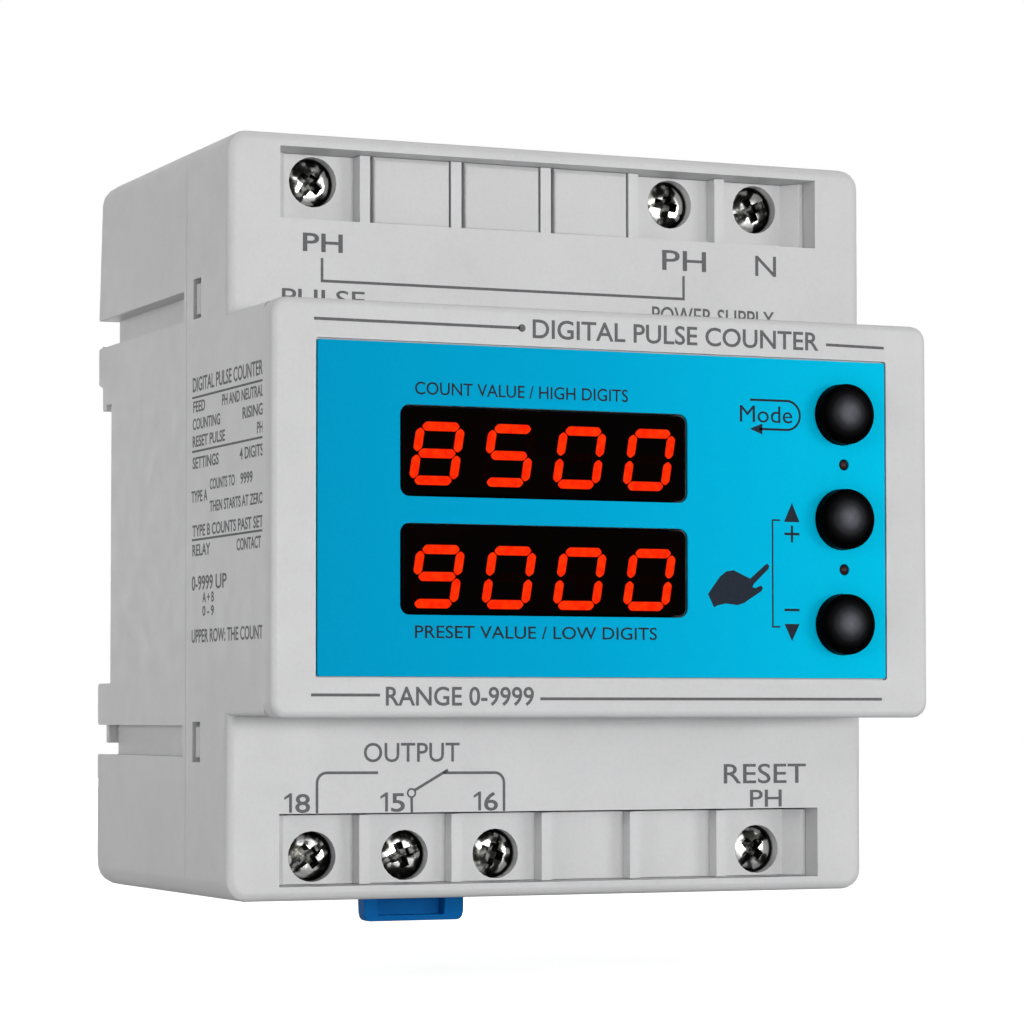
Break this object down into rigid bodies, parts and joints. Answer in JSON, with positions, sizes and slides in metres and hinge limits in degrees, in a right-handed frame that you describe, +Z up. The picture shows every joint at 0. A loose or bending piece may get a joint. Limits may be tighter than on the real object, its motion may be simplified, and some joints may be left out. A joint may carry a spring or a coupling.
{
  "type": "rail-mounted panel counter",
  "caption": "Digital pulse counter in a light grey modular enclosure that clips to a mounting rail, with display windows, push buttons, lamps and screw terminals with rising clamps.",
  "frame": {"origin": "on the rail seat at the back, in the middle of the width and of the rail's height", "axes": "+Y out of the back towards the rail, -Y out of the face with the displays, +Z up, +X to the right as seen from the front"},
  "size_m": [0.0842, 0.0689, 0.0954],
  "materials": {
    "shell": "light grey moulded, fine matt grain",
    "label_film": "blue printed film, satin",
    "smoked_window": "dark red smoked, polished",
    "button": "black, polished",
    "lamp": "dark red lens, unlit",
    "plated_steel": "bright plated",
    "tinned_brass": "tinned",
    "board": "green solder mask",
    "black_part": "black moulded",
    "core_steel": "varnished laminations",
    "component_case": "blue case",
    "film_case": "yellow case",
    "capacitor_can": "dark sleeve",
    "clip": "dark blue moulded"
  },
  "bodies": {
    "housing": {"rear_base": "shell", "front_housing": "shell", "front_lid": "shell", "upper_terminal_strip": "shell", "lower_terminal_strip": "shell", "blanking_plug_1": "shell", "blanking_plug_2": "shell", "blanking_plug_3": "shell", "face_label": "label_film", "upper_window": "smoked_window", "lower_window": "smoked_window", "upper_lamp": "lamp", "lower_lamp": "lamp", "upper_contact_1": "tinned_brass", "upper_contact_2": "tinned_brass", "upper_contact_3": "tinned_brass", "lower_contact_1": "tinned_brass", "lower_contact_2": "tinned_brass", "lower_contact_3": "tinned_brass", "lower_contact_4": "tinned_brass", "power_board": "board", "display_board": "board", "upper_display": "black_part", "lower_display": "black_part", "mode_switch": "black_part", "up_switch": "black_part", "down_switch": "black_part", "microcontroller": "black_part", "left_pin_row": "black_part", "right_pin_row": "black_part", "transformer": "core_steel", "relay": "component_case", "varistor": "component_case", "film_capacitor": "film_case", "smoothing_capacitor": "capacitor_can"},
    "mode_button": {"mode_button": "button"},
    "up_button": {"up_button": "button"},
    "down_button": {"down_button": "button"},
    "upper_screw_1": {"upper_screw_1": "plated_steel"},
    "upper_screw_2": {"upper_screw_2": "plated_steel"},
    "upper_screw_3": {"upper_screw_3": "plated_steel"},
    "lower_screw_1": {"lower_screw_1": "plated_steel"},
    "lower_screw_2": {"lower_screw_2": "plated_steel"},
    "lower_screw_3": {"lower_screw_3": "plated_steel"},
    "lower_screw_4": {"lower_screw_4": "plated_steel"},
    "upper_cage_1": {"upper_cage_1": "plated_steel"},
    "upper_cage_2": {"upper_cage_2": "plated_steel"},
    "upper_cage_3": {"upper_cage_3": "plated_steel"},
    "lower_cage_1": {"lower_cage_1": "plated_steel"},
    "lower_cage_2": {"lower_cage_2": "plated_steel"},
    "lower_cage_3": {"lower_cage_3": "plated_steel"},
    "lower_cage_4": {"lower_cage_4": "plated_steel"},
    "rail_clip": {"rail_clip": "clip"}
  },
  "joints": [
    {"name": "mode_button_press", "type": "slide", "parent": "housing", "child": "mode_button", "axis": [0, 1, 0], "range_m": [0, 0.0006], "stiffness_N_per_m": 2000},
    {"name": "up_button_press", "type": "slide", "parent": "housing", "child": "up_button", "axis": [0, 1, 0], "range_m": [0, 0.0006], "stiffness_N_per_m": 2000},
    {"name": "down_button_press", "type": "slide", "parent": "housing", "child": "down_button", "axis": [0, 1, 0], "range_m": [0, 0.0006], "stiffness_N_per_m": 2000},
    {"name": "rail_clip_pull", "type": "slide", "parent": "housing", "child": "rail_clip", "axis": [0, 0, -1], "range_m": [0, 0.004], "stiffness_N_per_m": 2000},
    {"name": "upper_screw_1_turn", "type": "hinge", "parent": "housing", "child": "upper_screw_1", "pos_m": [-0.0295, -0.0391, 0.04145], "axis": [0, 1, 0], "range_deg": [0, 2880]},
    {"name": "upper_cage_1_rise", "type": "slide", "parent": "housing", "child": "upper_cage_1", "axis": [0, -1, 0], "range_m": [0, 0.004]},
    {"name": "upper_screw_2_turn", "type": "hinge", "parent": "housing", "child": "upper_screw_2", "pos_m": [0.0177, -0.0391, 0.04145], "axis": [0, 1, 0], "range_deg": [0, 2880]},
    {"name": "upper_cage_2_rise", "type": "slide", "parent": "housing", "child": "upper_cage_2", "axis": [0, -1, 0], "range_m": [0, 0.004]},
    {"name": "upper_screw_3_turn", "type": "hinge", "parent": "housing", "child": "upper_screw_3", "pos_m": [0.0295, -0.0391, 0.04145], "axis": [0, 1, 0], "range_deg": [0, 2880]},
    {"name": "upper_cage_3_rise", "type": "slide", "parent": "housing", "child": "upper_cage_3", "axis": [0, -1, 0], "range_m": [0, 0.004]},
    {"name": "lower_screw_1_turn", "type": "hinge", "parent": "housing", "child": "lower_screw_1", "pos_m": [-0.0295, -0.0391, -0.03865], "axis": [0, 1, 0], "range_deg": [0, 2880]},
    {"name": "lower_cage_1_rise", "type": "slide", "parent": "housing", "child": "lower_cage_1", "axis": [0, -1, 0], "range_m": [0, 0.004]},
    {"name": "lower_screw_2_turn", "type": "hinge", "parent": "housing", "child": "lower_screw_2", "pos_m": [-0.0177, -0.0391, -0.03865], "axis": [0, 1, 0], "range_deg": [0, 2880]},
    {"name": "lower_cage_2_rise", "type": "slide", "parent": "housing", "child": "lower_cage_2", "axis": [0, -1, 0], "range_m": [0, 0.004]},
    {"name": "lower_screw_3_turn", "type": "hinge", "parent": "housing", "child": "lower_screw_3", "pos_m": [-0.0059, -0.0391, -0.03865], "axis": [0, 1, 0], "range_deg": [0, 2880]},
    {"name": "lower_cage_3_rise", "type": "slide", "parent": "housing", "child": "lower_cage_3", "axis": [0, -1, 0], "range_m": [0, 0.004]},
    {"name": "lower_screw_4_turn", "type": "hinge", "parent": "housing", "child": "lower_screw_4", "pos_m": [0.0295, -0.0391, -0.03865], "axis": [0, 1, 0], "range_deg": [0, 2880]},
    {"name": "lower_cage_4_rise", "type": "slide", "parent": "housing", "child": "lower_cage_4", "axis": [0, -1, 0], "range_m": [0, 0.004]}
  ],
  "couplings": [
    {"joint": "upper_screw_1_turn", "follows": "upper_cage_1_rise", "rad_per_m": 12566},
    {"joint": "upper_screw_2_turn", "follows": "upper_cage_2_rise", "rad_per_m": 12566},
    {"joint": "upper_screw_3_turn", "follows": "upper_cage_3_rise", "rad_per_m": 12566},
    {"joint": "lower_screw_1_turn", "follows": "lower_cage_1_rise", "rad_per_m": 12566},
    {"joint": "lower_screw_2_turn", "follows": "lower_cage_2_rise", "rad_per_m": 12566},
    {"joint": "lower_screw_3_turn", "follows": "lower_cage_3_rise", "rad_per_m": 12566},
    {"joint": "lower_screw_4_turn", "follows": "lower_cage_4_rise", "rad_per_m": 12566}
  ]
}
